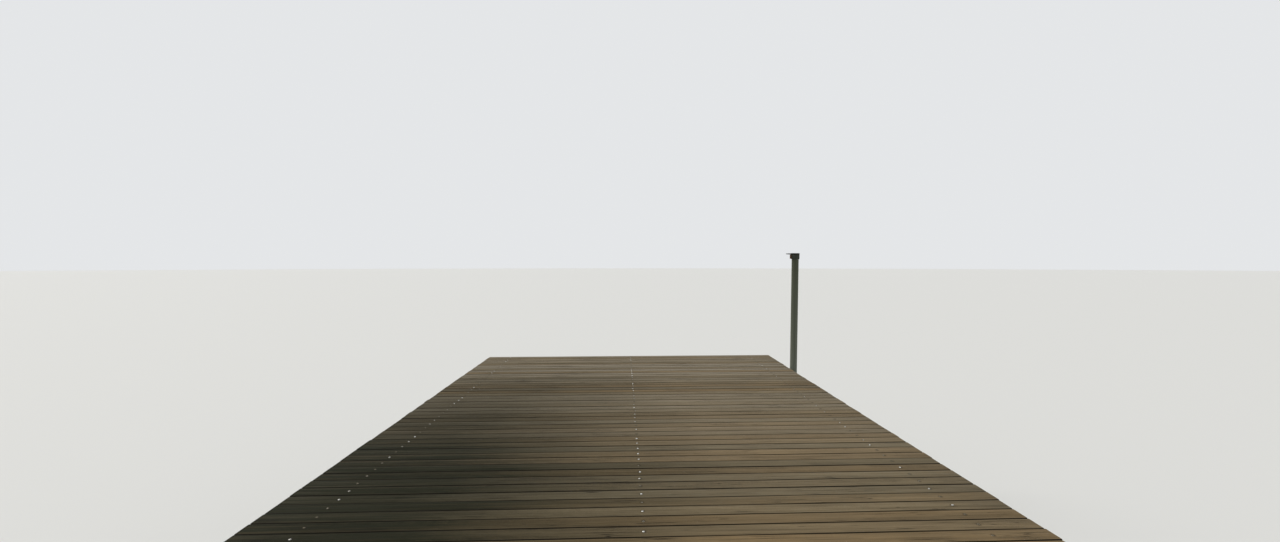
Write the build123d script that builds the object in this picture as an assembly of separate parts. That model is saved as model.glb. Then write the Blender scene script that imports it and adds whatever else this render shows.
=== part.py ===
"""Timber lake jetty on round piles, with a steel mooring post beside its lake end.

Millimetres, Z up. Y runs along the deck, out over the water, and X runs across it.
The origin is the foot of the middle pile in the bent nearest the shore.
"""
from build123d import *
import os

# Deck boards, laid across the jetty
deck_width = 5000.0
board_width = 120.0
board_thickness = 60.0
board_gap = 6.5
bay_length = 2025.0
bay_count = 6

# Height of the walking surface above the lake bed
deck_height = 1800.0

# Stringers, one under each line of screws
deck_overhang = 380.0
stringer_width = 100.0
stringer_height = 200.0
splice_gap = 4.0

# Planks that close the stringer ends
end_plank_thickness = 50.0
end_plank_height = 180.0

# Bents: a cap beam on three piles
bent_count = 6
bent_inset = 1100.0
cap_beam_height = 200.0
cap_beam_overhang = 200.0
pile_diameter = 200.0

# Flat steel straps on both sides of each pile's head
strap_width = 60.0
strap_thickness = 6.0
strap_pile_length = 180.0
strap_beam_margin = 20.0

# Mooring post, which leans outwards
post_diameter = 108.0
post_side_gap = 26.0
post_rise = 1822.0
post_lean = 0.7

# Sleeve cap on the post's head, with a lug on the side of the deck
fit_clearance = 0.3
cap_wall = 11.0
cap_sleeve_height = 65.0
cap_top_thickness = 6.0
cap_edge_radius = 8.0
lug_reach = 20.0
lug_width = 16.0

# Head plate with its tongue, on the cap
plate_lip = 1.0
plate_thickness = 24.0
tongue_length = 84.0
tongue_width = 45.0
tongue_tip_thickness = 10.0

# Clamp that ties the post to the end of the cap beam nearest the lake
clamp_height = 80.0
clamp_wall = 8.0
clamp_split = 6.0
clamp_ear_length = 36.0
clamp_ear_thickness = 10.0
bracket_plate_size = 160.0
bracket_plate_thickness = 10.0
bracket_arm_thickness = 12.0

# Worked out from the sizes above
boards_per_bay = int(bay_length / (board_width + board_gap))
board_pitch = bay_length / boards_per_bay
deck_length = bay_count * bay_length - (board_pitch - board_width)
shore_end = -bent_inset
lake_end = shore_end + deck_length
bent_spacing = (deck_length - 2 * bent_inset) / (bent_count - 1)
bent_places = [number * bent_spacing for number in range(bent_count)]
stringer_spacing = deck_width / 2 - deck_overhang
stringer_places = [-stringer_spacing, 0.0, stringer_spacing]
splice_place = bent_places[bent_count // 2]
board_underside = deck_height - board_thickness
stringer_underside = board_underside - stringer_height
pile_height = stringer_underside - cap_beam_height
cap_beam_width = pile_diameter
cap_beam_end = stringer_spacing + cap_beam_overhang
post_x = deck_width / 2 + post_side_gap + post_diameter / 2
post_y = bent_places[-1]
plate_top = deck_height + post_rise
post_top = plate_top - plate_thickness - cap_top_thickness
clamp_middle = pile_height + cap_beam_height / 2
fit_bore = post_diameter / 2 + fit_clearance
cap_radius = fit_bore + cap_wall
plate_radius = cap_radius + plate_lip
tongue_reach = plate_radius + tongue_length
lean_pivot = Pos(post_x, post_y, clamp_middle)
post_turn = lean_pivot * Rot(0, post_lean, 0) * lean_pivot.inverse()


def block(x_range, y_range, z_range):
    """A plain box between three pairs of limits."""
    size = [high - low for low, high in (x_range, y_range, z_range)]
    middle = [(high + low) / 2 for low, high in (x_range, y_range, z_range)]
    return Pos(*middle) * Box(*size)


def upright(radius, bottom, top, x, y):
    """An upright cylinder between two levels."""
    return Pos(x, y, (bottom + top) / 2) * Cylinder(radius, top - bottom)


def deck_boards(bay):
    """The boards of one bay, as separate solids that lie on the stringers."""
    boards = []
    for number in range(boards_per_bay):
        start = shore_end + bay * bay_length + number * board_pitch
        boards.append(block(
            (-deck_width / 2, deck_width / 2),
            (start, start + board_width),
            (board_underside, deck_height)))
    return Compound(boards)


def stringer(x):
    """One line of stringer, in two lengths that butt over a cap beam."""
    across = (x - stringer_width / 2, x + stringer_width / 2)
    upward = (stringer_underside, board_underside)
    shore_length = (shore_end + end_plank_thickness, splice_place - splice_gap / 2)
    lake_length = (splice_place + splice_gap / 2, lake_end - end_plank_thickness)
    return Compound([block(across, along, upward) for along in (shore_length, lake_length)])


def end_plank(outer_face, inward):
    """A plank across the stringer ends, under the last board."""
    faces = sorted((outer_face, outer_face + inward * end_plank_thickness))
    half = stringer_spacing + stringer_width / 2
    return block((-half, half), faces, (board_underside - end_plank_height, board_underside))


def cap_beam(y):
    """The squared beam on the piles of one bent."""
    return block(
        (-cap_beam_end, cap_beam_end),
        (y - cap_beam_width / 2, y + cap_beam_width / 2),
        (pile_height, stringer_underside))


def pile(x, y):
    """A round pile from the lake bed to its cap beam."""
    return upright(pile_diameter / 2, 0, pile_height, x, y)


def pile_straps():
    """Straps that tie each pile to its beam, flat against the beam and the side of the pile."""
    upward = (pile_height - strap_pile_length, stringer_underside - strap_beam_margin)
    straps = []
    for y in bent_places:
        for x in stringer_places:
            across = (x - strap_width / 2, x + strap_width / 2)
            for side in (-1, 1):
                face = y + side * cap_beam_width / 2
                along = sorted((face, face + side * strap_thickness))
                straps.append(block(across, along, upward))
    return Compound(straps)


def post():
    """The steel post beside the deck, cut level with the lake bed."""
    whole = post_turn * upright(post_diameter / 2, -post_diameter, post_top, post_x, post_y)
    around = 3 * post_diameter
    below_bed = block(
        (post_x - around, post_x + around),
        (post_y - around, post_y + around),
        (-around, 0))
    return whole - below_bed


def post_cap():
    """A cap whose sleeve fits over the head of the post, with a lug under the tongue."""
    bottom = post_top - cap_sleeve_height
    top = post_top + cap_top_thickness
    cap = upright(cap_radius, bottom, top, post_x, post_y)
    cap = fillet(cap.edges().group_by(Axis.Z)[0], cap_edge_radius)
    lug = block(
        (post_x - cap_radius - lug_reach, post_x - fit_bore - cap_wall / 2),
        (post_y - lug_width / 2, post_y + lug_width / 2),
        (bottom + cap_edge_radius, top))
    return post_turn * (cap + lug - upright(fit_bore, bottom, post_top, post_x, post_y))


def head_plate():
    """The round plate on the cap, with a tongue towards the deck that thins to its tip."""
    upward = (plate_top - plate_thickness, plate_top)
    middle = plate_top - plate_thickness / 2
    disc = upright(plate_radius, *upward, post_x, post_y)
    straight = tongue_reach - tongue_width / 2
    along = (post_y - tongue_width / 2, post_y + tongue_width / 2)
    outline = block((post_x - straight, post_x), along, upward)
    outline += upright(tongue_width / 2, *upward, post_x - straight, post_y)
    side = Polygon(
        (post_x, upward[0]),
        (post_x, upward[1]),
        (post_x - tongue_reach, middle + tongue_tip_thickness / 2),
        (post_x - tongue_reach, middle - tongue_tip_thickness / 2),
        align=None)
    wedge = extrude(Plane.XZ.offset(-post_y) * side, tongue_width, both=True)
    return post_turn * (disc + (outline & wedge))


def clamp_half(side):
    """Half of the ring round the post with its two ears: side is -1 or 1 along X."""
    bottom = clamp_middle - clamp_height / 2
    top = clamp_middle + clamp_height / 2
    outer = fit_bore + clamp_wall
    ear_end = outer + clamp_ear_length
    split_face = post_x + side * clamp_split / 2
    back_face = split_face + side * clamp_ear_thickness
    ring = upright(outer, bottom, top, post_x, post_y)
    keep = block(
        sorted((split_face, post_x + side * 2 * outer)),
        (post_y - 2 * outer, post_y + 2 * outer),
        (bottom, top))
    ears = block(
        sorted((split_face, back_face)),
        (post_y - ear_end, post_y + ear_end),
        (bottom, top))
    return post_turn * ((ring & keep) + ears - upright(fit_bore, bottom, top, post_x, post_y))


def post_bracket():
    """The inner half of the clamp, with its arm and the plate on the beam's end."""
    plate_face = cap_beam_end + bracket_plate_thickness
    half_plate = bracket_plate_size / 2
    plate = block(
        (cap_beam_end, plate_face),
        (post_y - half_plate, post_y + half_plate),
        (clamp_middle - half_plate, clamp_middle + half_plate))
    arm = block(
        (cap_beam_end, post_x - fit_bore - clamp_wall / 2),
        (post_y - bracket_arm_thickness / 2, post_y + bracket_arm_thickness / 2),
        (clamp_middle - clamp_height / 2, clamp_middle + clamp_height / 2))
    return plate + arm + clamp_half(-1)


def model():
    """Every node of the jetty, by name."""
    nodes = {}
    for bay in range(bay_count):
        nodes[f"deck_boards_bay_{bay + 1}"] = deck_boards(bay)
    for side, x in zip(("left", "middle", "right"), stringer_places):
        nodes[f"stringer_{side}"] = stringer(x)
        for number, y in enumerate(bent_places, start=1):
            nodes[f"pile_{number}_{side}"] = pile(x, y)
    for number, y in enumerate(bent_places, start=1):
        nodes[f"cap_beam_{number}"] = cap_beam(y)
    nodes["pile_straps"] = pile_straps()
    nodes["end_plank_shore"] = end_plank(shore_end, 1)
    nodes["end_plank_lake"] = end_plank(lake_end, -1)
    nodes["mooring_post"] = post()
    nodes["post_cap"] = post_cap()
    nodes["post_head_plate"] = head_plate()
    nodes["post_bracket"] = post_bracket()
    nodes["post_clamp_strap"] = clamp_half(1)
    return nodes


os.makedirs("parts", exist_ok=True)
for name, shape in model().items():
    export_step(shape, f"parts/{name}.step")
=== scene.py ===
"""Dresses a timber jetty: weathered boards, beams, piles, fastenings and a steel post."""
import math
import random
from functools import partial
from itertools import product

import bmesh
import bpy
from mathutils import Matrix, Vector


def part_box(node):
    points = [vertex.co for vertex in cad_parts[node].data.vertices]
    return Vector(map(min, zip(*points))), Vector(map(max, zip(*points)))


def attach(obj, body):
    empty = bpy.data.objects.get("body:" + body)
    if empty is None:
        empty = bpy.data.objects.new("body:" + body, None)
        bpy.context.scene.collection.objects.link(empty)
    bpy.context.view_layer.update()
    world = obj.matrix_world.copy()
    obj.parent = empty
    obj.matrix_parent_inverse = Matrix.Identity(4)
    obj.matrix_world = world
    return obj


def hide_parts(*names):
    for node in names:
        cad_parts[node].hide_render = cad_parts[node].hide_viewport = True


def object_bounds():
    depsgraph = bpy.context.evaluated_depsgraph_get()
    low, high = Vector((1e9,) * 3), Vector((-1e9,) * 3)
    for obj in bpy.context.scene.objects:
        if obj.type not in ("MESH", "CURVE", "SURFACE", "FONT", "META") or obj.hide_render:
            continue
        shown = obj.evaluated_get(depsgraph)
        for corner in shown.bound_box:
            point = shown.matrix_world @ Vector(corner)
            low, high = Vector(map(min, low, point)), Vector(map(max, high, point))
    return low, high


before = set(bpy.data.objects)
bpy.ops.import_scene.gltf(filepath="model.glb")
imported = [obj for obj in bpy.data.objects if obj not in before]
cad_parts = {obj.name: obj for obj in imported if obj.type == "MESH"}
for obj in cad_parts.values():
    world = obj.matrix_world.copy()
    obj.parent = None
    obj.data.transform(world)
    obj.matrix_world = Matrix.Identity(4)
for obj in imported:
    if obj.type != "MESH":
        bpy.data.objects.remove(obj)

bl_info = {
    "name": "Timber jetty",
    "version": (1, 0, 0),
    "blender": (4, 5, 0),
    "location": "View3D > Sidebar > Jetty",
    "description": "Weathered boards, beams, piles and steelwork round the jetty's frame",
    "category": "Object",
}

CAD_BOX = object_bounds()
BAYS = sorted(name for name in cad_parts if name.startswith("deck_boards_bay_"))
CAP_BEAMS = sorted(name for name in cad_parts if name.startswith("cap_beam_"))
SIDES = ("left", "middle", "right")
SHORE_END = CAD_BOX[0][1]
OUTER_END = CAD_BOX[1][1]
DECK_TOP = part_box(BAYS[0])[1].z

# Sizes that the frame's boxes don't tell by themselves, in metres
BOARD_WIDTH = 0.120
BOARDS_IN_BAY = 16
SPLICE_GAP = 0.004
WET_LINE = 1.2
BRACKET_PLATE = 0.010
CLAMP_EAR = 0.010
CLAMP_SPLIT = 0.006
CAP_LUG = 0.020

# Fastenings: how far they sit from the edge or the middle of what they hold
SCREW_RISE = 0.0035
SCREW_SUNK = 0.0002
SCREW_WANDER = 0.005
PILE_BOLTS_UP = (0.035, 0.125)
BEAM_BOLT_UP = 0.055
STRAP_BOLT_DOWN = 0.035
PLANK_BOLT_IN = 0.045
BRACKET_BOLT_OUT = 0.055
EAR_BOLT_IN = 0.018
EAR_BOLT_OUT = 0.020
EAR_BOLT_ACROSS = 0.019
SHANK = 0.003
SHANK_OVERLAP = 0.001

# Where the random draws of each kind of piece start
CAP_BEAM_SEED = 20
END_PLANK_SEED = 40
SHORE_LENGTH_SEED = 50
LAKE_LENGTH_SEED = 60
SCREW_SEED = 7

# Shapes of the timber, with its angles in radians
RING_EVERY = 0.2
END_ZONE = 0.03
TIP_EASING = 0.03
PILE_CHAMFER = 0.012
PILE_SIDES = 120
PILE_RINGS = 26
CRACK_HALF_ANGLE = 0.055
SHARP_EDGE = math.radians(32)

PICTURE_WIDTH = 1280

# Patterns in bare timber, in repeats per metre along and across the fibres, and then the noise's
# detail, roughness and distortion. Streaks are about 20 mm wide and 1 m long. Fibres are drawn
# 2 mm wide, coarser than real ones, so that they show.
GRAIN = {
    "wobble": (0.8, 3.0, 2.0, 0.5, 0.0),
    "streaks": (1.1, 46.0, 4.0, 0.6, 0.3),
    "fibres": (4.0, 420.0, 2.0, 0.5, 0.0),
    "lines": (1.2, 120.0, 3.0, 0.6, 0.2),
    "cracks": (0.9, 52.0, 1.0, 0.5, 0.4),
    "torn": (1.6, 7.0, 2.0, 0.5, 0.0),
    "worn": (1.0, 6.0, 4.0, 0.5, 0.0),
}
# The part of each noise that shows: from and to which value, and how strong at both
SHOWN = {
    "streaks": (0.36, 0.64, 0.0, 1.0),
    "fibres": (0.35, 0.65, 0.0, 1.0),
    "lines": (0.53, 0.66, 0.0, 1.0),
    "torn": (0.49, 0.58, 0.0, 1.0),
    "worn": (0.42, 0.66, 0.0, 0.4),
}
# Growth rings are drawn 4.5 mm apart, about twice as far as real ones, so that they show
RING_SPACING = 0.0045


def linear(hex_colour):
    """An sRGB hex colour as linear red, green, blue and alpha."""
    parts = [int(hex_colour[place:place + 2], 16) / 255 for place in (1, 3, 5)]
    return tuple(c / 12.92 if c <= 0.04045 else ((c + 0.055) / 1.055) ** 2.4 for c in parts) + (1.0,)


def middle(box):
    """The middle of a box given by its lowest and highest corners."""
    return (Vector(box[0]) + Vector(box[1])) / 2


def span(box):
    """The three sizes of a box."""
    return Vector(box[1]) - Vector(box[0])


LINES = [middle(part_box(f"stringer_{side}")).x for side in SIDES]
LINE_GAP = LINES[-1]


def new_node(tree, kind, *values, **options):
    """Adds one node to a tree, with its settings and links.

    The kind is written without its family's name, and its operation or data type may follow after
    a dot. Values go to the node's open inputs in order. An option with a capital is the input of
    that name, and any other is a property. A node given as a value is its first open output.
    """
    kind, _, mode = kind.partition(".")
    kinds = [family + kind for family in ("ShaderNode", "GeometryNode", "FunctionNode", "Node")]
    node = tree.nodes.new(next(kind for kind in kinds if hasattr(bpy.types, kind)))
    if mode:
        setattr(node, "operation" if hasattr(node, "operation") else "data_type", mode)
    for name, value in options.items():
        if name[0].islower():
            setattr(node, name, value)
    sockets = [socket for socket in node.inputs if socket.enabled]
    named = {socket.name.replace(" ", "_"): socket for socket in reversed(sockets)}
    feeds = [(sockets[place], value) for place, value in enumerate(values)]
    feeds += [(named[name], value) for name, value in options.items() if name[0].isupper()]
    for socket, value in feeds:
        if isinstance(value, bpy.types.Node):
            value = next(output for output in value.outputs if output.enabled)
        if isinstance(value, bpy.types.NodeSocket):
            tree.links.new(value, socket)
        else:
            socket.default_value = value
    return node


# Settings that a user would change

class DeckSettings(bpy.types.PropertyGroup):
    """Sizes and colours of the deck boards."""
    edge_radius: bpy.props.FloatProperty(
        name="Edge radius", description="Rounding of the long edges", default=0.003, unit="LENGTH")
    end_wander: bpy.props.FloatProperty(
        name="End wander", description="How far a board may end past or short of its neighbours",
        default=0.005, unit="LENGTH")
    side_wander: bpy.props.FloatProperty(
        name="Side wander", description="How far a board may lie off its line", default=0.0019,
        unit="LENGTH")
    face_wander: bpy.props.FloatProperty(
        name="Face wander", description="Bow of a board between its screws", default=0.0018,
        unit="LENGTH")
    brown: bpy.props.FloatVectorProperty(
        name="Brown", description="The least weathered boards", size=4, subtype="COLOR",
        default=linear("#8c7655"))
    grey: bpy.props.FloatVectorProperty(
        name="Grey", description="The most weathered boards", size=4, subtype="COLOR",
        default=linear("#776d57"))
    # Painted light and painted reflection for the outer end of the deck
    outer_painted_light: bpy.props.FloatVectorProperty(
        name="Painted light", description="Boards bleached by the sun, at the outer end", size=4,
        subtype="COLOR", default=linear("#938976"))
    # Painted shade, tinted green, for the left side of the deck
    painted_shade: bpy.props.FloatVectorProperty(
        name="Painted shade", description="The damp, shaded side of the deck", size=4, subtype="COLOR",
        default=linear("#171c0b"))


class TimberSettings(bpy.types.PropertyGroup):
    """Sizes and colours of the squared beams and the round piles."""
    beam_edge: bpy.props.FloatProperty(
        name="Beam edge", description="Rounding of the beams' edges", default=0.007, unit="LENGTH")
    beam_wander: bpy.props.FloatProperty(
        name="Beam wander", description="Unevenness of the beams", default=0.0015, unit="LENGTH")
    pile_lump: bpy.props.FloatProperty(
        name="Pile lump", description="Unevenness of the peeled trunks", default=0.006,
        unit="LENGTH")
    crack_depth: bpy.props.FloatProperty(
        name="Crack depth", description="Depth of the drying cracks in the piles", default=0.014,
        unit="LENGTH")
    beam_colour: bpy.props.FloatVectorProperty(
        name="Beams", description="Weathered squared timber", size=4, subtype="COLOR",
        default=linear("#75654e"))
    pile_colour: bpy.props.FloatVectorProperty(
        name="Piles", description="Peeled round timber, where it stays dry", size=4,
        subtype="COLOR", default=linear("#6b5c49"))


class SteelSettings(bpy.types.PropertyGroup):
    """Sizes and colours of the screws, bolts and post."""
    screw_radius: bpy.props.FloatProperty(
        name="Screw radius", description="Radius of a deck screw's head", default=0.008,
        unit="LENGTH")
    bolt_across: bpy.props.FloatProperty(
        name="Bolt size", description="Hexagon head of the frame bolts, across its flats",
        default=0.024, unit="LENGTH")
    stainless: bpy.props.FloatVectorProperty(
        name="Stainless", description="Deck screws", size=4, subtype="COLOR",
        default=linear("#dedcd6"))
    zinc: bpy.props.FloatVectorProperty(
        name="Zinc", description="Straps, clamp and bolts", size=4, subtype="COLOR",
        default=linear("#8d908f"))
    paint: bpy.props.FloatVectorProperty(
        name="Post paint", description="Dark green-grey enamel", size=4, subtype="COLOR",
        default=linear("#4b5040"))
    cap_paint: bpy.props.FloatVectorProperty(
        name="Cap paint", description="Enamel of the post's cap", size=4, subtype="COLOR",
        default=linear("#32362f"))
    plate_paint: bpy.props.FloatVectorProperty(
        name="Plate paint", description="Enamel of the plate on the cap", size=4,
        subtype="COLOR", default=linear("#1b1c18"))


class StageSettings(bpy.types.PropertyGroup):
    """The camera's place and the floor."""
    eye_height: bpy.props.FloatProperty(
        name="Eye height", description="Camera height over the deck", default=1.65, unit="LENGTH")
    eye_distance: bpy.props.FloatProperty(
        name="Eye distance", description="From the camera to the outer end of the deck",
        default=8.927, unit="LENGTH")
    eye_offset: bpy.props.FloatProperty(
        name="Eye offset", description="Camera place across the deck, from its middle line",
        default=-0.127, unit="LENGTH")
    eye_yaw: bpy.props.FloatProperty(
        name="Eye yaw", description="Turn to the right of the deck's line",
        default=math.radians(2.277), subtype="ANGLE")
    eye_pitch: bpy.props.FloatProperty(
        name="Eye pitch", description="Tilt downwards", default=math.radians(0.80),
        subtype="ANGLE")
    focal_pixels: bpy.props.FloatProperty(
        name="Focal length", description="In pixels of the photograph's frame", default=498.0,
        subtype="PIXEL")
    centre_shift: bpy.props.FloatProperty(
        name="Centre shift", description="From the frame's middle to the lens axis", default=3.2,
        subtype="PIXEL")
    floor: bpy.props.FloatVectorProperty(
        name="Floor", description="Plain pale floor", size=4, subtype="COLOR",
        default=linear("#e4e4e1"))


# Making and finishing pieces

def new_object(name, data):
    """A new object in the scene, at the origin."""
    thing = bpy.data.objects.new(name, data)
    bpy.context.scene.collection.objects.link(thing)
    return thing


def settled(carrier, name):
    """Keeps what a carrier's modifiers make as a plain mesh object, and removes the carrier."""
    result = carrier.evaluated_get(bpy.context.evaluated_depsgraph_get())
    mesh = bpy.data.meshes.new_from_object(result)
    bpy.data.objects.remove(carrier)
    if not mesh.polygons:
        raise RuntimeError(f"{name} came out empty")
    return new_object(name, mesh)


def grow(name, tree, values, points=()):
    """Runs a tree on the given points and keeps the result as a plain mesh object."""
    source = bpy.data.meshes.new(name + "_points")
    source.from_pydata([place for place, outward in points], [], [])
    outwards = source.attributes.new("outward", "FLOAT_VECTOR", "POINT")
    outwards.data.foreach_set("vector", [part for place, outward in points for part in outward])
    carrier = new_object(name + "_carrier", source)
    modifier = carrier.modifiers.new("shape", "NODES")
    modifier.node_group = tree
    for item in tree.interface.items_tree:
        if item.in_out == "INPUT" and item.name in values:
            modifier[item.identifier] = values[item.name]
    piece = settled(carrier, name)
    if "outward" in piece.data.attributes:
        piece.data.attributes.remove(piece.data.attributes["outward"])
    return piece


def eased(node, name, material, radius):
    """A CAD node's shape with its sharp edges eased, in place of the node."""
    shape = bmesh.new()
    shape.from_mesh(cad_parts[node].data)
    bmesh.ops.remove_doubles(shape, verts=shape.verts, dist=0.00002)
    bmesh.ops.dissolve_limit(
        shape, angle_limit=math.radians(0.5), verts=shape.verts, edges=shape.edges)
    mesh = bpy.data.meshes.new(name + "_plain")
    shape.to_mesh(mesh)
    shape.free()
    carrier = new_object(name + "_carrier", mesh)
    bevel = carrier.modifiers.new("eased_edges", "BEVEL")
    bevel.width = radius
    bevel.segments = 2
    bevel.limit_method = "ANGLE"
    bevel.angle_limit = math.radians(40)
    piece = settled(carrier, name)
    piece.data.materials.clear()
    piece.data.materials.append(material)
    piece.data.shade_smooth()
    piece.data.set_sharp_from_angle(angle=SHARP_EDGE)
    return piece


def dress(piece, slot, *nodes):
    """Fixes a finished piece to the jetty, in place of the CAD nodes that it stands for."""
    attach(piece, "root")
    if nodes:
        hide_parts(*nodes)


# Shapes grown with Geometry Nodes

def new_tree(name, **inputs):
    """A geometry tree with named inputs, what adds its nodes, and the inputs' sockets."""
    tree = bpy.data.node_groups.new(name, "GeometryNodeTree")
    tree.interface.new_socket("Geometry", in_out="INPUT", socket_type="NodeSocketGeometry")
    tree.interface.new_socket("Geometry", in_out="OUTPUT", socket_type="NodeSocketGeometry")
    for kind, labels in inputs.items():
        for label in labels:
            tree.interface.new_socket(label, in_out="INPUT", socket_type="NodeSocket" + kind)
    add = partial(new_node, tree)
    return tree, add, add("GroupInput").outputs


def close_tree(add, geometry, material):
    """Ends a tree: instances become real, sharp edges stay sharp, the material goes on."""
    angle = add("InputMeshEdgeAngle")
    sharp = add("Compare.GREATER_THAN", angle, SHARP_EDGE)
    real = add("RealizeInstances", geometry)
    smooth = add("SetShadeSmooth", real, Shade_Smooth=True)
    edged = add("SetShadeSmooth", smooth, sharp, False, domain="EDGE")
    painted = add("SetMaterial", edged, Material=material)
    add("GroupOutput", painted)


def timber_tree():
    """Squared timbers side by side, with eased edges, uneven ends and a slight bow in each."""
    tree, add, given = new_tree(
        "squared_timbers",
        Int=("Count", "Rings", "Seed"),
        Float=("Pitch", "Length", "Width", "Thickness", "Edge Radius", "End Wander",
               "Side Wander", "Face Wander", "Held Every"),
        Rotation=("Turn",), Vector=("Centre",), Material=("Material",))
    half = add("Math.MULTIPLY", given["Length"], 0.5)
    end = add("CombineXYZ", half)
    start = add("VectorMath.SCALE", end, -1.0)
    line = add("CurvePrimitiveLine", start, end)
    spine = add("ResampleCurve", line, Count=given["Rings"])

    # The ring next to each end moves out to it, so that the end's edge can be eased
    place = add("InputPosition")
    along = add("SeparateXYZ", place)
    side = add("Math.SIGN", along)
    inner = add("Math.SUBTRACT", half, given["Edge Radius"])
    inner = add("Math.MULTIPLY", inner, side)
    inner = add("CombineXYZ", inner)
    tips = add("CurveEndpointSelection", 1, 1)
    two = add("CurveEndpointSelection", 2, 2)
    second = add("BooleanMath.NIMPLY", two, tips)
    spine = add("SetPosition", spine, second, inner)
    easing = add("Math.MULTIPLY_ADD", tips, -TIP_EASING, 1.0)
    profile = add("CurvePrimitiveQuadrilateral", given["Width"], given["Thickness"])
    profile = add("FilletCurve", profile, Count=3, Radius=given["Edge Radius"], mode="POLY")
    timber = add("CurveToMesh", spine, profile, easing, Fill_Caps=True)
    timber = add("StoreNamedAttribute.FLOAT_VECTOR", timber, Name="grain", Value=place)

    # Side by side, each with its own number
    gaps = add("Math.SUBTRACT", given["Count"], 1.0)
    back = add("Math.MULTIPLY", gaps, given["Pitch"])
    back = add("Math.MULTIPLY", back, -0.5)
    first = add("CombineXYZ", Y=back)
    step = add("CombineXYZ", Y=given["Pitch"])
    row = add("MeshLine", given["Count"], first, step)
    laid = add("InstanceOnPoints", row, Instance=timber)
    index = add("InputIndex")
    number = add("Math.MULTIPLY_ADD", given["Seed"], 100.0, index)
    laid = add("StoreNamedAttribute", laid, Name="timber", Value=number, domain="INSTANCE")
    real = add("RealizeInstances", laid)
    number = add("InputNamedAttribute", "timber")

    # Uneven ends: each end of each timber draws its own shift
    reach = add("Math.ABSOLUTE", along)
    from_end = add("Math.SUBTRACT", half, reach)
    at_end = add("Math.LESS_THAN", from_end, END_ZONE)
    draw = add("Math.MULTIPLY_ADD", number, 4.0, side)
    less = add("Math.MULTIPLY", given["End Wander"], -1.0)
    shift = add("RandomValue", less, given["End Wander"], draw, Seed=11)
    shift = add("Math.MULTIPLY", shift, at_end)

    # Each timber lies a little off its line, and a little high or low
    most = given["Side Wander"]
    less = add("Math.MULTIPLY", most, -1.0)
    aside = add("RandomValue", less, most, number, Seed=12)
    higher = add("RandomValue", less, most, number, Seed=13)
    higher = add("Math.MULTIPLY", higher, 0.5)

    # A slow bow, none at the lines where the timber is held down
    slow = add("Math.MULTIPLY", along, 0.7)
    own = add("Math.MULTIPLY", number, 5.13)
    sample = add("CombineXYZ", slow, own)
    bow = add("TexNoise", sample, Scale=1.0, Detail=1.0).outputs["Color"]
    bow = add("VectorMath.SUBTRACT", bow, (0.5, 0.5, 0.5))
    for factor in (given["Face Wander"], 3.0):
        bow = add("VectorMath.SCALE", bow, factor)
    bow = add("SeparateXYZ", bow).outputs
    turn = add("Math.DIVIDE", along, given["Held Every"])
    turn = add("Math.MULTIPLY", turn, math.pi)
    free = add("Math.SINE", turn)
    free = add("Math.ABSOLUTE", free)
    aside = add("Math.ADD", bow["Y"], aside)
    rise = add("Math.MULTIPLY_ADD", bow["Z"], free, higher)
    offset = add("CombineXYZ", shift, aside, rise)
    moved = add("SetPosition", real, Offset=offset)
    placed = add("Transform", moved, given["Centre"], given["Turn"])
    close_tree(add, placed, given["Material"])
    return tree


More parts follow.
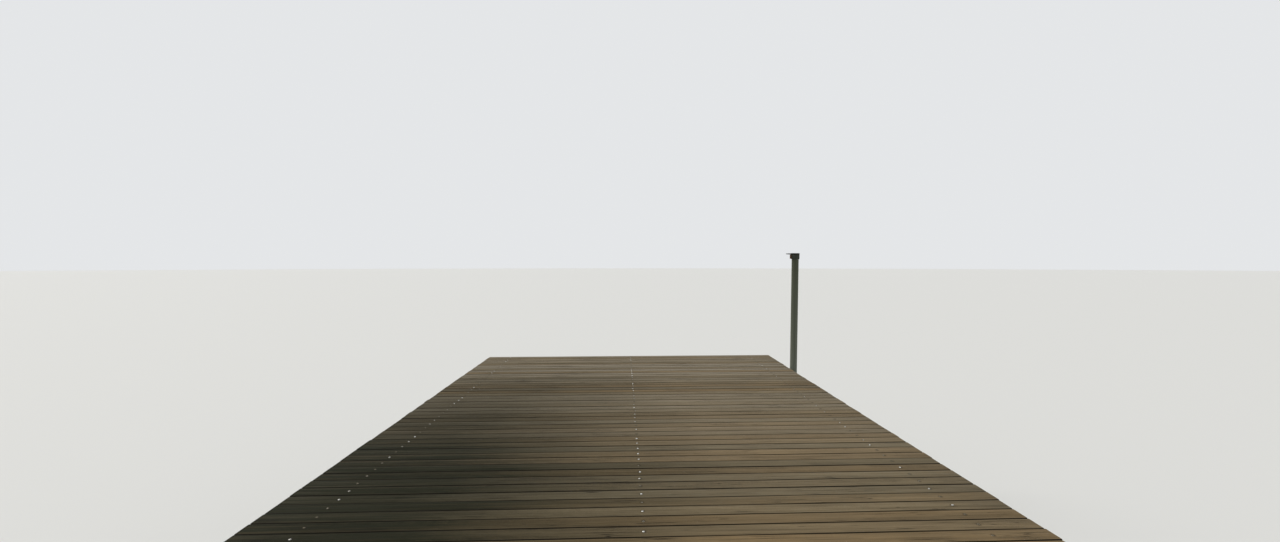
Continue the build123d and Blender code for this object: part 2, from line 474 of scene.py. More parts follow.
def pile_tree():
    """A peeled trunk: uneven round section, a chamfered head, and drying cracks down its sides."""
    tree, add, given = new_tree(
        "round_pile",
        Int=("Sides", "Rings", "Seed"),
        Float=("Radius", "Height", "Chamfer", "Lump", "Crack Depth", "Crack Half Angle"),
        Vector=("Foot",), Material=("Material",))
    top = add("CombineXYZ", Z=given["Height"])
    line = add("CurvePrimitiveLine", End=top)
    spine = add("ResampleCurve", line, Count=given["Rings"])
    last = add("CurveEndpointSelection", 0, 1)
    two = add("CurveEndpointSelection", 0, 2)
    second = add("BooleanMath.NIMPLY", two, last)
    shoulder = add("Math.SUBTRACT", given["Height"], given["Chamfer"])
    shoulder = add("CombineXYZ", Z=shoulder)
    spine = add("SetPosition", spine, second, shoulder)
    cut = add("Math.DIVIDE", given["Chamfer"], given["Radius"])
    cut = add("Math.MULTIPLY", cut, last)
    narrowing = add("Math.SUBTRACT", 1.0, cut)
    ring = add("CurvePrimitiveCircle", given["Sides"], given["Radius"])
    trunk = add("CurveToMesh", spine, ring, narrowing, Fill_Caps=True)
    place = add("InputPosition")
    x, y, z = add("SeparateXYZ", place).outputs
    fibre = add("CombineXYZ", z, x, y)

    # Lumps that are long down the trunk, always inwards
    seed = add("Math.MULTIPLY", given["Seed"], 4.37)
    stretched = add("VectorMath.MULTIPLY", place, (9.0, 9.0, 1.3))
    lump = add("TexNoise", stretched, seed, Scale=1.0, Detail=2.0, noise_dimensions="4D")
    dent = add("Math.MULTIPLY", lump, given["Lump"])

    # Two drying cracks, each down its own column of points, that close here and there
    angle = add("Math.ARCTAN2", y, x)
    column = add("Math.DIVIDE", 2 * math.pi, given["Sides"])
    split = 0.0
    for which, share in ((1, 1.0), (2, 0.6)):
        own = add("InputInt", integer=which)
        side = add("RandomValue", -math.pi, math.pi, own, Seed=given["Seed"])
        side = add("Math.SNAP", side, column)
        off = add("Math.SUBTRACT", angle, side)
        off = add("Math.WRAP", off, -math.pi, math.pi)
        off = add("Math.ABSOLUTE", off)
        off = add("Math.DIVIDE", off, given["Crack Half Angle"])
        gape = add("Math.SUBTRACT", 1.0, off, use_clamp=True)
        down = add("CombineXYZ", 7.3 * which, z, seed)
        closing = add("TexNoise", down, Scale=2.0, Detail=1.0)
        closing = add("MapRange", closing, 0.38, 0.56)
        for factor in (closing, share):
            gape = add("Math.MULTIPLY", gape, factor)
        dent = add("Math.MULTIPLY_ADD", gape, given["Crack Depth"], dent)
        split = add("Math.MAXIMUM", split, gape)
    for name, value, kind in (("grain", fibre, "FLOAT_VECTOR"), ("timber", given["Seed"], "FLOAT"),
                              ("split", split, "FLOAT")):
        trunk = add("StoreNamedAttribute", trunk, Name=name, Value=value, data_type=kind)
    outward = add("CombineXYZ", x, y)
    outward = add("VectorMath.NORMALIZE", outward)
    inward = add("Math.MULTIPLY", dent, -1.0)
    offset = add("VectorMath.SCALE", outward, inward)
    moved = add("VectorMath.ADD", place, offset)

    # The fibres and the cracks wind a little round the trunk
    down = add("CombineXYZ", Y=z, Z=seed)
    winding = add("TexNoise", down, Scale=1.6, Detail=1.0)
    winding = add("Math.MULTIPLY", winding, 0.8)
    turned = add("VectorRotate", Vector=moved, Angle=winding, rotation_type="Z_AXIS")
    worn = add("SetPosition", trunk, Position=turned)
    placed = add("Transform", worn, given["Foot"])
    close_tree(add, placed, given["Material"])
    return tree


def screw_tree():
    """Deck screws: a low domed head with a sunk drive, one on each point."""
    tree, add, given = new_tree("deck_screws", Float=("Radius", "Rise"), Material=("Material",))

    # The head's shoulder as a share of its radius, and its heights as shares of its rise
    shoulder = add("Math.MULTIPLY", given["Radius"], 0.84)
    body, crown, sink = [add("Math.MULTIPLY", given["Rise"], share) for share in (0.6, 0.4, -0.8)]
    head = add("MeshCone", Vertices=12, Radius_Top=shoulder, Radius_Bottom=given["Radius"],
               Depth=body)
    dome = add("ExtrudeMesh", head, head.outputs["Top"], Offset_Scale=crown)
    dome_top = add("ScaleElements", dome, dome.outputs["Top"], 0.62)
    step = add("ExtrudeMesh", dome_top, dome.outputs["Top"], Offset_Scale=0.0)
    drive = add("ScaleElements", step, step.outputs["Top"], 0.6)
    drive = add("ExtrudeMesh", drive, step.outputs["Top"], Offset_Scale=sink)
    spin = add("RandomValue.FLOAT_VECTOR", Max=(0.0, 0.0, 6.28), Seed=4)
    set_in = add("InstanceOnPoints", given["Geometry"], Instance=drive, Rotation=spin)
    index = add("InputIndex")
    set_in = add("StoreNamedAttribute", set_in, Name="screw", Value=index, domain="INSTANCE")
    close_tree(add, set_in, given["Material"])
    return tree


def bolt_tree():
    """Hexagon bolts with washers, each facing the way that its point's outward vector says."""
    tree, add, given = new_tree("hexagon_bolts", Float=("Across", "Shank"), Material=("Material",))

    # A standard bolt's sizes, as shares of the width across its flats
    corner, chamfer, rim, thread, washer_rise, head_rise, crown_rise = [
        add("Math.MULTIPLY", given["Across"], share)
        for share in (0.5774, 0.47, 0.78, 0.32, 0.13, 0.36, 0.06)]
    washer = add("MeshCylinder", Vertices=20, Radius=rim, Depth=washer_rise)
    head = add("MeshCylinder", Vertices=6, Radius=corner, Depth=head_rise)
    crown = add("MeshCone", Vertices=6, Radius_Top=chamfer, Radius_Bottom=corner, Depth=crown_rise)
    shank = add("MeshCylinder", Vertices=12, Radius=thread, Depth=given["Shank"])
    washer_up = add("Math.MULTIPLY", washer_rise, 0.5)
    head_up = add("Math.MULTIPLY_ADD", head_rise, 0.5, washer_rise)
    crown_up = add("Math.ADD", head_rise, washer_rise)
    shank_down = add("Math.MULTIPLY", given["Shank"], -0.5)
    joined = add("JoinGeometry")
    for shape, height in ((washer, washer_up), (head, head_up), (crown, crown_up),
                          (shank, shank_down)):
        lift = add("CombineXYZ", Z=height)
        lifted = add("Transform", shape, lift)
        tree.links.new(lifted.outputs["Geometry"], joined.inputs["Geometry"])
    facing = add("InputNamedAttribute.FLOAT_VECTOR", "outward")
    turn = add("AlignRotationToVector", Vector=facing, axis="Z")
    set_in = add("InstanceOnPoints", given["Geometry"], Instance=joined, Rotation=turn)
    close_tree(add, set_in, given["Material"])
    return tree


# Materials

def new_material(name):
    """An empty material, and what adds its nodes."""
    material = bpy.data.materials.new(name)
    material.use_nodes = True
    material.node_tree.nodes.clear()
    return material, partial(new_node, material.node_tree)


def finish_material(add, colour, roughness, normal, metallic=0.0, specular=0.5):
    """Puts colour, roughness and relief on one surface shader."""
    shader = add("BsdfPrincipled", Base_Color=colour, Roughness=roughness, Normal=normal,
                 Metallic=metallic, Specular_IOR_Level=specular)
    add("OutputMaterial", shader)


def bare_wood(name, younger, older, stain, pith_reach, grain_axis, relief):
    """Timber left bare: each piece its own tone, with rings, streaks, cracks and knots.

    The grain attribute has X along the fibres and its zero on the timber's middle line, so the
    same rings show as lines on the faces and as arcs on the ends.
    """
    material, add = new_material(name)
    coordinates = add("TexCoord").outputs
    fibre = add("Attribute", attribute_name="grain").outputs["Vector"]
    number = add("Attribute", attribute_name="timber").outputs["Fac"]
    dice = add("TexWhiteNoise", number, noise_dimensions="1D").outputs["Color"]
    ageing, lightness, chance = add("SeparateColor", dice).outputs
    jump = add("VectorMath.SCALE", dice, 41.0)
    grained = add("VectorMath.ADD", fibre, jump)
    grain = {}
    for pattern, (along, across, detail, roughness, twist) in GRAIN.items():
        stretched = add("VectorMath.MULTIPLY", grained, (along, across, across))
        grain[pattern] = add("TexNoise", stretched, Scale=1.0, Detail=detail, Roughness=roughness,
                             Distortion=twist)
    shown = {pattern: add("MapRange", grain[pattern], *limits) for pattern, limits in SHOWN.items()}

    # Growth rings round a pith that wanders along the timber
    wobble = add("VectorMath.MULTIPLY_ADD", grain["wobble"].outputs["Color"], (0.0, 0.035, 0.035),
                 (0.0, -0.0175, -0.0175))
    pith = add("VectorMath.MULTIPLY_ADD", dice, (0.0, pith_reach, pith_reach),
               (0.0, -pith_reach / 2, -pith_reach / 2))
    section = add("VectorMath.MULTIPLY_ADD", fibre, (0.0, 1.0, 1.0), wobble)
    section = add("VectorMath.SUBTRACT", section, pith)
    rings = add("VectorMath.LENGTH", section)
    rings = add("Math.MULTIPLY", rings, 1 / RING_SPACING)
    rings = add("Math.FRACT", rings)
    rings = add("MapRange", rings, 0.35, 0.95)

    # A knot every metre or so, about 25 mm wide and 40 mm long
    spread = add("VectorMath.MULTIPLY", grained, (1.5, 2.6, 0.4))
    cell = add("TexVoronoi", spread, Scale=1.0)
    chosen = add("SeparateColor", cell.outputs["Color"])
    chosen = add("Math.GREATER_THAN", chosen, 0.55)
    knots = add("MapRange", cell, 0.022, 0.036, 1.0, 0.0)
    knots = add("Math.MULTIPLY", knots, chosen)

    # Ends are sawn across the rings and grey
    facing = add("SeparateXYZ", coordinates["Normal"]).outputs[grain_axis]
    facing = add("Math.ABSOLUTE", facing)
    ends = add("MapRange", facing, 0.6, 0.8)

    # Open cracks along the faces, and splits from the pith outwards on the ends
    spokes = add("VectorMath.NORMALIZE", section)
    spokes = add("VectorMath.ADD", spokes, jump)
    spokes = add("TexNoise", spokes, Scale=2.4, Detail=1.0)
    splits = []
    for pattern, thin, wide, where in ((grain["cracks"], 0.005, 0.016, shown["torn"]),
                                       (spokes, 0.002, 0.012, ends)):
        gap = add("Math.SUBTRACT", pattern, 0.5)
        gap = add("Math.ABSOLUTE", gap)
        gap = add("MapRange", gap, thin, wide, 1.0, 0.0)
        splits.append(add("Math.MULTIPLY", gap, where))
    cracks, spokes = splits

    tone = add("Mix.RGBA", ageing, younger, older)
    lightness = add("MapRange", lightness, 0.0, 1.0, 0.83, 1.15)
    tone = add("VectorMath.SCALE", tone, lightness)
    tone = add("Mix.RGBA", shown["worn"], tone, linear("#605745"))
    greyed = add("Math.MULTIPLY", ends, 0.55)
    tone = add("Mix.RGBA", greyed, tone, linear("#4d463b"))
    tone = stain(add, tone, coordinates["Object"], fibre, chance)
    lightness = add("MapRange", shown["streaks"], 0.0, 1.0, 0.85, 1.14)
    tone = add("VectorMath.SCALE", tone, lightness)
    for pattern, strength, colour in (
            (rings, 0.22, "#3a3228"), (shown["fibres"], 0.16, "#3a3228"),
            (shown["lines"], 0.32, "#2f291f"), (knots, 0.7, "#33271b"),
            (cracks, 0.85, "#15120d"), (spokes, 0.85, "#15120d")):
        share = add("Math.MULTIPLY", pattern, strength)
        tone = add("Mix.RGBA", share, tone, linear(colour))

    # Soft early wood wears away, so rings stand up, and cracks lie low
    height = add("Math.MULTIPLY", shown["streaks"], 0.5)
    for pattern, rise in ((rings, 0.35), (shown["fibres"], -0.15), (shown["lines"], -0.5),
                          (cracks, -1.6), (spokes, -1.6)):
        height = add("Math.MULTIPLY_ADD", pattern, rise, height)
    normal = add("Bump", Height=height, Strength=0.9, Distance=relief)
    rough = add("MapRange", shown["streaks"], 0.0, 1.0, 0.94, 0.80)
    finish_material(add, tone, rough, normal, specular=0.1)
    return material


def deck_stain_light_and_shade(add, tone, place, fibre, chance):
    """Painted light and reflection at the outer end, painted shade on the left, dark rings at the
    screws. Dirt and painted shade lie in the gaps.
    """
    look = bpy.context.scene.jetty_deck
    across, along, _ = add("SeparateXYZ", place).outputs

    # Painted light and painted reflection make the outer end lighter and greyer, on some boards more
    # than others
    light_and_sheen = add("MapRange", along, 0.48 * OUTER_END, 0.9 * OUTER_END, 0.0, 0.8)
    taken = add("MapRange", chance, 0.0, 1.0, 1.4, 0.1)
    light_and_sheen = add("Math.MULTIPLY", light_and_sheen, taken, use_clamp=True)
    tone = add("Mix.RGBA", light_and_sheen, tone, look.outer_painted_light)

    # Painted shade, tinted green, on the left side: it reaches further on some boards, lies in
    # streaks about 20 mm wide, and fades towards the outer end and near the shore
    shade_and_rust_reach = add("TexNoise", place, Scale=1.1, Detail=4.0, Roughness=0.5)
    shade_and_rust_reach = add("Math.MULTIPLY_ADD", shade_and_rust_reach, 0.5, across)
    shade_and_rust_reach = add("Math.MULTIPLY_ADD", chance, -0.5, shade_and_rust_reach)
    shade_and_rust_reach = add("MapRange", shade_and_rust_reach, 0.70, -1.50)
    shaded = add("MapRange", along, 0.58 * OUTER_END, 0.96 * OUTER_END, 1.0, 0.06)
    shore_fade = add("MapRange", along, SHORE_END, 0.45 * OUTER_END, 0.85)
    taken = add("MapRange", chance, 0.0, 1.0, 0.9, 1.04)
    streak = add("VectorMath.MULTIPLY", fibre, (0.7, 48.0, 48.0))
    own = add("Math.MULTIPLY", chance, 57.0)
    streak = add("TexNoise", streak, own, Scale=1.0, Detail=3.0, noise_dimensions="4D")
    streak = add("MapRange", streak, 0.36, 0.62, 0.88, 1.12)
    for factor in (shaded, shore_fade, taken, streak):
        shade_and_rust_reach = add("Math.MULTIPLY", shade_and_rust_reach, factor, use_clamp=True)
    tone = add("Mix.RGBA", shade_and_rust_reach, tone, look.painted_shade)

    # Dirt and painted shade along the edges, more in some gaps than in others
    side = add("SeparateXYZ", fibre).outputs["Y"]
    edge = add("Math.ABSOLUTE", side)
    half = BOARD_WIDTH / 2
    dirt_and_shade = add("MapRange", edge, half - 0.007, half - 0.002, 0.0, 0.85)
    share = add("MapRange", chance, 0.0, 1.0, 0.3)
    dirt_and_shade = add("Math.MULTIPLY", dirt_and_shade, share)

    # Painted shade, near black, on the board sides in the gaps. The outer faces of the first and
    # last board stand free, with no gap beside them
    gap_shade = add("MapRange", edge, half - 0.003, half - 0.001, 0.0, 0.92)
    from_middle = add("Math.SUBTRACT", along, middle(CAD_BOX).y)
    from_middle = add("Math.ABSOLUTE", from_middle)
    in_gap = add("Math.LESS_THAN", from_middle, (span(CAD_BOX).y - BOARD_WIDTH) / 2)
    gap_shade = add("Math.MULTIPLY", gap_shade, in_gap)

    # A dark ring round each screw
    nearest = add("Math.ADD", across, LINE_GAP / 2)
    nearest = add("Math.SNAP", nearest, LINE_GAP)
    off = add("Math.SUBTRACT", across, nearest)
    off = add("CombineXYZ", off, side)
    off = add("VectorMath.LENGTH", off)
    ring = add("MapRange", off, 0.009, 0.020, 0.6, 0.0)
    # Dirt with painted shade, the painted shade in the gaps, and the screw rings are mixed in
    for share, colour in ((dirt_and_shade, "#26221a"), (gap_shade, "#16130e"), (ring, "#211e18")):
        tone = add("Mix.RGBA", share, tone, linear(colour))
    return tone


def beam_stain(add, tone, place, fibre, chance):
    """Damp darkens the beams in patches about 0.6 m long."""
    damp = add("TexNoise", place, Scale=1.7, Detail=4.0)
    damp = add("MapRange", damp, 0.40, 0.70, 0.0, 0.7)
    return add("Mix.RGBA", damp, tone, linear("#4d483c"))


def pile_stain_and_shade(add, tone, place, fibre, chance):
    """A green band at the wet line, near black below it, and painted shade in the cracks."""
    height = add("SeparateXYZ", place).outputs["Z"]

    # The line wavers by some centimetres, in waves about 140 mm wide
    wash = add("TexNoise", place, Scale=7.0, Detail=4.0)
    height = add("Math.MULTIPLY_ADD", wash, 0.12, height)
    wet = add("MapRange", height, WET_LINE + 0.10, WET_LINE - 0.02)
    deep = add("MapRange", height, WET_LINE - 0.05, WET_LINE - 0.30)
    # Painted shade, near black, in the crack grooves
    split = add("Attribute", attribute_name="split").outputs["Fac"]
    split = add("MapRange", split, 0.1, 0.7, 0.0, 0.9)
    for share, colour in ((wet, "#40442f"), (deep, "#373127"), (split, "#17130e")):
        tone = add("Mix.RGBA", share, tone, linear(colour))
    return tone


def deck_timber(look):
    """Larch boards left bare for years: grey-brown, with painted shade, tinted green, on the left
    side.
    """
    return bare_wood("weathered_larch_boards", look.brown, look.grey, deck_stain_light_and_shade,
                     pith_reach=0.14, grain_axis=0, relief=0.0014)


def beam_timber(name, colour, grain_axis):
    """Sawn larch beams, bare and weathered, with their heart inside them."""
    return bare_wood(name, colour, linear("#675d4c"), beam_stain,
                     pith_reach=0.07, grain_axis=grain_axis, relief=0.0018)


def pile_timber(colour):
    """Peeled larch trunks, with the heart in the middle."""
    return bare_wood("peeled_larch_piles", colour, linear("#5d5343"), pile_stain_and_shade,
                     pith_reach=0.012, grain_axis=2, relief=0.0024)


def post_enamel(name, colour, rust_line=None):
    """Enamel brushed on steel years ago: matt, paler lower down, with rust where it has chipped.

    Steel to the left of the rust line has lost its paint.
    """
    material, add = new_material(name)
    place = add("TexCoord").outputs["Object"]
    across, _, upward = add("SeparateXYZ", place).outputs

    # Dust in patches about 55 mm wide and 0.5 m high, and paler towards the bottom, in streaks 17 mm
    # wide
    dust = add("VectorMath.MULTIPLY", place, (18.0, 18.0, 2.2))
    dust = add("TexNoise", dust, Scale=1.0, Detail=5.0)
    dusted = add("MapRange", dust, 0.4, 0.75, 0.0, 0.5)
    paler_lower_down = add("MapRange", upward, CAD_BOX[1][2], DECK_TOP, 0.0, 0.9)
    streak = add("VectorMath.MULTIPLY", place, (60.0, 60.0, 1.6))
    streak = add("TexNoise", streak, Scale=1.0, Detail=3.0)
    streak = add("MapRange", streak, 0.3, 0.7, 0.55, 1.1)
    paler_lower_down = add("Math.MULTIPLY", paler_lower_down, streak, use_clamp=True)

    # Chips some millimetres wide, and a ragged edge to the rust, which is 4 mm coarse
    chips = add("TexNoise", place, Scale=42.0, Detail=5.0, Roughness=0.65)
    chips = add("MapRange", chips, 0.68, 0.71)
    tone = colour
    for share, other in ((dusted, "#55564a"), (paler_lower_down, "#767b6f"), (chips, "#4c382a")):
        tone = add("Mix.RGBA", share, tone, linear(other))
    if rust_line is not None:
        shade_and_rust_reach = add("TexNoise", place, Scale=90.0, Detail=5.0, Roughness=0.6)
        edge = add("Math.MULTIPLY_ADD", shade_and_rust_reach, 0.03, across)
        rust = add("MapRange", edge, rust_line + 0.018, rust_line + 0.013, 0.0, 0.95)
        scale = add("TexNoise", place, Scale=260.0, Detail=6.0, Roughness=0.65)
        scale = add("MapRange", scale, 0.3, 0.7)
        scale = add("Mix.RGBA", scale, linear("#84613f"), linear("#4a3527"))
        tone = add("Mix.RGBA", rust, tone, scale)
    height = add("Math.MULTIPLY_ADD", dust, 0.16, upward)
    wet = add("MapRange", height, WET_LINE + 0.14, WET_LINE + 0.02, 0.0, 0.8)
    tone = add("Mix.RGBA", wet, tone, linear("#3b3e2c"))
    rough = add("MapRange", dust, 0.3, 0.8, 0.52, 0.8)
    height = add("Math.MULTIPLY_ADD", chips, -0.5, dust)
    normal = add("Bump", Height=height, Strength=0.35, Distance=0.0008)
    finish_material(add, tone, rough, normal, specular=0.15)
    return material


def hot_dip_zinc(colour):
    """Hot-dip zinc on flat steel: dull grey, with faint crystals 8 mm wide and wider stains."""
    material, add = new_material("hot_dip_zinc")
    place = add("TexCoord").outputs["Object"]
    spangle = add("TexVoronoi", place, Scale=120.0).outputs["Color"]
    cell = add("SeparateColor", spangle)
    shade = add("MapRange", cell, 0.0, 1.0, 0.82, 1.1)
    tone = add("VectorMath.SCALE", colour[:3], shade)
    stain = add("TexNoise", place, Scale=16.0, Detail=4.0)
    stain = add("MapRange", stain, 0.55, 0.75, 0.0, 0.6)
    tone = add("Mix.RGBA", stain, tone, linear("#6b6355"))
    rough = add("MapRange", cell, 0.0, 1.0, 0.42, 0.6)
    normal = add("Bump", Height=stain, Strength=0.3, Distance=0.0004)
    finish_material(add, tone, rough, normal, metallic=0.85)
    return material


def bright_stainless(colour):
    """Stainless steel screws: bright where they are rubbed, with grime in patches 4 mm wide."""
    material, add = new_material("bright_stainless")
    place = add("TexCoord").outputs["Object"]
    number = add("Attribute", attribute_name="screw").outputs["Fac"]
    dulled = add("TexWhiteNoise", number, noise_dimensions="1D")
    grime = add("TexNoise", place, Scale=230.0, Detail=3.0)
    grime = add("Math.MULTIPLY_ADD", dulled, 0.9, grime)
    across = add("SeparateXYZ", place)
    outwards = add("Math.ABSOLUTE", across)
    grime = add("Math.MULTIPLY_ADD", outwards, 0.10, grime)
    grime = add("MapRange", grime, 0.75, 1.15)
    tone = add("Mix.RGBA", grime, colour, linear("#6b6454"))
    rough = add("MapRange", grime, 0.0, 1.0, 0.28, 0.6)
    normal = add("Bump", Height=grime, Strength=0.2, Distance=0.0002)
    finish_material(add, tone, rough, normal, metallic=1.0)
    return material


# Pieces

def lay_timber(name, tree, box, shape, seed, material, count=1):
    """A row of timbers that fills a box from the frame, along the box's longer side."""
    size = span(box)
    lengthwise = count == 1 and size.y > size.x
    length, width = (size.y, size.x) if lengthwise else (size.x, size.y)
    pitch = 0.0
    if count > 1:
        pitch = (width - BOARD_WIDTH) / (count - 1)
        width = BOARD_WIDTH
    return grow(name, tree, {
        "Count": count, "Pitch": pitch, "Length": length, "Width": width, "Thickness": size.z,
        "Rings": max(4, round(length / RING_EVERY)), "Seed": seed, "Material": material,
        "Turn": (0.0, 0.0, math.radians(90) if lengthwise else 0.0),
        "Centre": tuple(middle(box)), "Held Every": LINE_GAP, **shape})


class JETTY_OT_deck(bpy.types.Operator):
    """Lay the deck boards, bay by bay"""
    bl_idname = "jetty.lay_deck"
    bl_label = "Lay deck boards"

    def execute(self, context):
        look = context.scene.jetty_deck
        tree = timber_tree()
        material = deck_timber(look)
        shape = {
            "Edge Radius": look.edge_radius, "End Wander": look.end_wander,
            "Side Wander": look.side_wander, "Face Wander": look.face_wander}
        for bay, node in enumerate(BAYS, start=1):
            piece = lay_timber(f"boards_of_bay_{bay}", tree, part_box(node), shape, bay, material,
                               BOARDS_IN_BAY)
            dress(piece, "deck_timber", node)
        return {"FINISHED"}


class JETTY_OT_beams(bpy.types.Operator):
    """Set the stringers, cap beams and end planks"""
    bl_idname = "jetty.set_beams"
    bl_label = "Set beams"

    def execute(self, context):
        look = context.scene.jetty_timber
        tree = timber_tree()
        over = beam_timber("sawn_larch_across", look.beam_colour, grain_axis=0)
        down = beam_timber("sawn_larch_lengthwise", look.beam_colour, grain_axis=1)
        shape = {
            "Edge Radius": look.beam_edge, "End Wander": 0.0, "Side Wander": 0.0,
            "Face Wander": look.beam_wander}
        timbers = [(f"beam_of_bent_{place + 1}", node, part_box(node), CAP_BEAM_SEED + place, over)
                   for place, node in enumerate(CAP_BEAMS)]
        for seed, end in enumerate(("shore", "lake"), start=END_PLANK_SEED):
            node = f"end_plank_{end}"
            timbers.append((f"{end}_end_plank", node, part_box(node), seed, over))
        splice = middle(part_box(CAP_BEAMS[len(CAP_BEAMS) // 2])).y
        for place, side in enumerate(SIDES):
            node = f"stringer_{side}"
            low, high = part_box(node)
            shore = (low, Vector((high.x, splice - SPLICE_GAP / 2, high.z)))
            lake = (Vector((low.x, splice + SPLICE_GAP / 2, low.z)), high)
            for end, box, seed in (("shore", shore, SHORE_LENGTH_SEED),
                                   ("lake", lake, LAKE_LENGTH_SEED)):
                timbers.append((f"{side}_stringer_{end}_length", node, box, seed + place, down))
        for name, node, box, seed, material in timbers:
            dress(lay_timber(name, tree, box, shape, seed, material), "frame_timber", node)
        return {"FINISHED"}


class JETTY_OT_piles(bpy.types.Operator):
    """Drive the round piles"""
    bl_idname = "jetty.drive_piles"
    bl_label = "Drive piles"

    def execute(self, context):
        look = context.scene.jetty_timber
        tree = pile_tree()
        material = pile_timber(look.pile_colour)
        for number, (place, side) in product(range(1, len(CAP_BEAMS) + 1), enumerate(SIDES)):
            node = f"pile_{number}_{side}"
            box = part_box(node)
            foot = (middle(box).x, middle(box).y, box[0].z)
            piece = grow(f"trunk_{number}_{side}", tree, {
                "Radius": span(box).x / 2, "Height": span(box).z, "Chamfer": PILE_CHAMFER,
                "Lump": look.pile_lump, "Crack Depth": look.crack_depth,
                "Crack Half Angle": CRACK_HALF_ANGLE, "Sides": PILE_SIDES, "Rings": PILE_RINGS,
                "Seed": len(SIDES) * number + place, "Foot": foot, "Material": material})
            dress(piece, "pile_timber", node)
        return {"FINISHED"}


class JETTY_OT_screws(bpy.types.Operator):
    """Drive one stainless screw through each board at each stringer"""
    bl_idname = "jetty.drive_screws"
    bl_label = "Drive deck screws"

    def execute(self, context):
        look = context.scene.jetty_steel
        chance = random.Random(SCREW_SEED)
        points = []
        for node in BAYS:
            low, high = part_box(node)
            pitch = (high.y - low.y - BOARD_WIDTH) / (BOARDS_IN_BAY - 1)
            for board, line in product(range(BOARDS_IN_BAY), LINES):
                x = line + chance.uniform(-SCREW_WANDER, SCREW_WANDER)
                y = (low.y + BOARD_WIDTH / 2 + board * pitch
                     + chance.uniform(-SCREW_WANDER, SCREW_WANDER))
                points.append(((x, y, high.z - SCREW_SUNK), (0.0, 0.0, 1.0)))
        piece = grow("deck_screw_heads", screw_tree(), {
            "Radius": look.screw_radius, "Rise": SCREW_RISE,
            "Material": bright_stainless(look.stainless)}, points)
        dress(piece, "zinc_steel")
        return {"FINISHED"}


class JETTY_OT_steelwork(bpy.types.Operator):
    """Finish the straps, the clamp and the bolts"""
    bl_idname = "jetty.fit_steelwork"
    bl_label = "Fit steelwork"

    def execute(self, context):
        look = context.scene.jetty_steel
        material = hot_dip_zinc(look.zinc)
        for node, name in (("pile_straps", "straps_on_piles"), ("post_bracket", "bracket_of_post"),
                           ("post_clamp_strap", "outer_half_of_clamp")):
            dress(eased(node, name, material, radius=0.001), "zinc_steel", node)

        # Bolts through the straps, the end planks and the bracket's plate
        bolts = []
        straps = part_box("pile_straps")
        strap_thickness = straps[1].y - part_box(CAP_BEAMS[-1])[1].y
        for number, node in enumerate(CAP_BEAMS, start=1):
            low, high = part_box(node)
            heights = [straps[0].z + up for up in PILE_BOLTS_UP]
            heights += [low.z + BEAM_BOLT_UP, straps[1].z - STRAP_BOLT_DOWN]
            faces = ((low.y - strap_thickness, -1.0), (high.y + strap_thickness, 1.0))
            for side, (face, out), z in product(SIDES, faces, heights):
                x = middle(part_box(f"pile_{number}_{side}")).x
                bolts.append(((x, face, z), (0.0, out, 0.0)))
        for end, corner, out in (("shore", 0, -1.0), ("lake", 1, 1.0)):
            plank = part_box(f"end_plank_{end}")
            heights = (plank[0].z + PLANK_BOLT_IN, plank[1].z - PLANK_BOLT_IN)
            for x, z in product(LINES, heights):
                bolts.append(((x, plank[corner].y, z), (0.0, out, 0.0)))
        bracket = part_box("post_bracket")
        centre = middle(bracket)
        plate_face = bracket[0].x + BRACKET_PLATE
        for y, z in product((-BRACKET_BOLT_OUT, BRACKET_BOLT_OUT), repeat=2):
            bolts.append(((plate_face, centre.y + y, centre.z + z), (1.0, 0.0, 0.0)))
        tree = bolt_tree()
        piece = grow("frame_bolts", tree, {
            "Across": look.bolt_across, "Shank": SHANK, "Material": material}, bolts)
        dress(piece, "zinc_steel")

        # Bolts that draw the two halves of the clamp together, through their ears
        split = (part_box("post_clamp_strap")[0].x + bracket[1].x) / 2
        ear_face = CLAMP_SPLIT / 2 + CLAMP_EAR
        ear_middle = span(bracket).y / 2 - EAR_BOLT_IN
        bolts = []
        for out, y, z in product((-1.0, 1.0), (-ear_middle, ear_middle),
                                 (-EAR_BOLT_OUT, EAR_BOLT_OUT)):
            place = (split + out * ear_face, centre.y + y, centre.z + z)
            bolts.append((place, (out, 0.0, 0.0)))
        piece = grow("clamp_bolts", tree, {
            "Across": EAR_BOLT_ACROSS, "Shank": ear_face + SHANK_OVERLAP,
            "Material": material}, bolts)
        dress(piece, "zinc_steel")
        return {"FINISHED"}


class JETTY_OT_post(bpy.types.Operator):
    """Paint the mooring post with its cap and head plate"""
    bl_idname = "jetty.paint_post"
    bl_label = "Paint post"

    def execute(self, context):
        look = context.scene.jetty_steel
        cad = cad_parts["mooring_post"]
        cad.data.materials.clear()
        cad.data.materials.append(post_enamel("green_grey_enamel_on_steel", look.paint))
        lug_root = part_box("post_cap")[0].x + CAP_LUG
        enamel = post_enamel("dark_grey_enamel_on_steel", look.cap_paint, lug_root)
        cap = eased("post_cap", "cap_of_post", enamel, radius=0.0015)
        dress(cap, "post_paint", "post_cap")
        enamel = post_enamel("black_enamel_on_steel", look.plate_paint)
        plate = eased("post_head_plate", "plate_on_cap", enamel, radius=0.002)
        dress(plate, "post_paint", "post_head_plate")
        return {"FINISHED"}


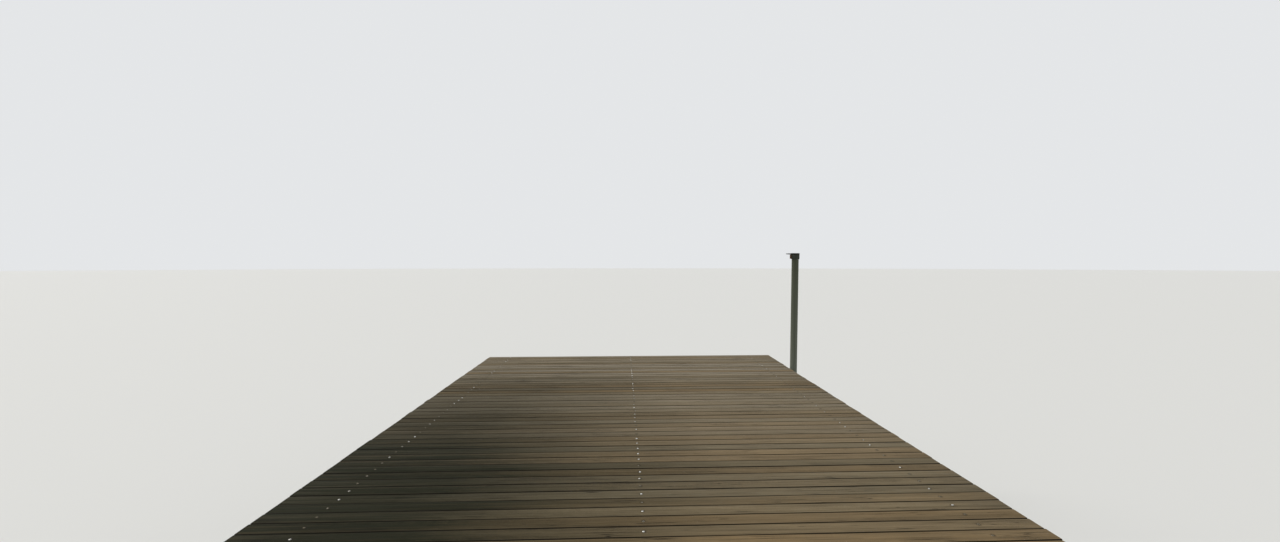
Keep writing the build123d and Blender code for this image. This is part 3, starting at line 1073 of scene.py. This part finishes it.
class JETTY_OT_stage(bpy.types.Operator):
    """Set the floor, the light and the camera"""
    bl_idname = "jetty.set_stage"
    bl_label = "Set stage"

    def execute(self, context):
        look = context.scene.jetty_stage
        scene = context.scene
        scene.view_settings.view_transform = "Standard"
        centre = middle(CAD_BOX)
        bpy.ops.mesh.primitive_circle_add(
            vertices=128, radius=400.0, fill_type="NGON", location=(centre.x, centre.y, 0.0))
        floor = context.object
        floor.name = "plain_floor"
        material, add = new_material("plain_floor")
        shader = add("BsdfPrincipled", look.floor, Roughness=0.9)
        add("OutputMaterial", shader)
        floor.data.materials.append(material)

        # The eye and mirrors see a paler backdrop than the one that lights the jetty
        world = bpy.data.worlds.new("soft_daylight")
        world.use_nodes = True
        scene.world = world
        world.node_tree.nodes.clear()
        add = partial(new_node, world.node_tree)
        rays = add("LightPath").outputs
        seen = rays["Is Camera Ray"]
        for other in ("Is Glossy Ray", "Is Transmission Ray"):
            seen = add("Math.MAXIMUM", seen, rays[other])
        strength = add("MapRange", seen, 0.0, 1.0, 0.62, 0.86)
        glow = add("Background", linear("#f4f6f8"), strength)
        add("OutputWorld", glow)

        sun = new_object("soft_key", bpy.data.lights.new("soft_key", "SUN"))
        sun.data.energy = 1.6
        sun.data.angle = math.radians(18)
        sun.data.color = (1.0, 0.97, 0.92)
        sun.rotation_euler = (math.radians(46), 0.0, math.radians(-112))

        camera = new_object("eye", bpy.data.cameras.new("eye"))
        camera.data.sensor_width = 36.0
        camera.data.lens = look.focal_pixels * camera.data.sensor_width / PICTURE_WIDTH
        camera.data.shift_x = -look.centre_shift / PICTURE_WIDTH
        camera.data.clip_end = 1000.0
        outer_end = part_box(BAYS[-1])[1].y
        camera.location = (
            look.eye_offset, outer_end - look.eye_distance, DECK_TOP + look.eye_height)
        camera.rotation_euler = (math.radians(90) - look.eye_pitch, 0.0, -look.eye_yaw)
        scene.camera = camera
        return {"FINISHED"}


class JETTY_PT_panel(bpy.types.Panel):
    """The jetty's settings and steps"""
    bl_idname = "JETTY_PT_panel"
    bl_label = "Timber jetty"
    bl_space_type = "VIEW_3D"
    bl_region_type = "UI"
    bl_category = "Jetty"

    def draw(self, context):
        for name, group in GROUPS.items():
            settings = getattr(context.scene, name)
            box = self.layout.box()
            for prop in group.__annotations__:
                box.prop(settings, prop)
        for step in STEPS:
            self.layout.operator(step.bl_idname)


GROUPS = {
    "jetty_deck": DeckSettings,
    "jetty_timber": TimberSettings,
    "jetty_steel": SteelSettings,
    "jetty_stage": StageSettings,
}
STEPS = (JETTY_OT_deck, JETTY_OT_beams, JETTY_OT_piles, JETTY_OT_screws, JETTY_OT_steelwork,
         JETTY_OT_post, JETTY_OT_stage)


def register():
    for name, group in GROUPS.items():
        bpy.utils.register_class(group)
        setattr(bpy.types.Scene, name, bpy.props.PointerProperty(type=group))
    for step in STEPS:
        bpy.utils.register_class(step)
    bpy.utils.register_class(JETTY_PT_panel)


def unregister():
    bpy.utils.unregister_class(JETTY_PT_panel)
    for step in reversed(STEPS):
        bpy.utils.unregister_class(step)
    for name, group in GROUPS.items():
        delattr(bpy.types.Scene, name)
        bpy.utils.unregister_class(group)


def main():
    register()
    bpy.ops.jetty.lay_deck()
    bpy.ops.jetty.set_beams()
    bpy.ops.jetty.drive_piles()
    bpy.ops.jetty.drive_screws()
    bpy.ops.jetty.fit_steelwork()
    bpy.ops.jetty.paint_post()
    bpy.ops.jetty.set_stage()


if __name__ == "__main__":
    main()
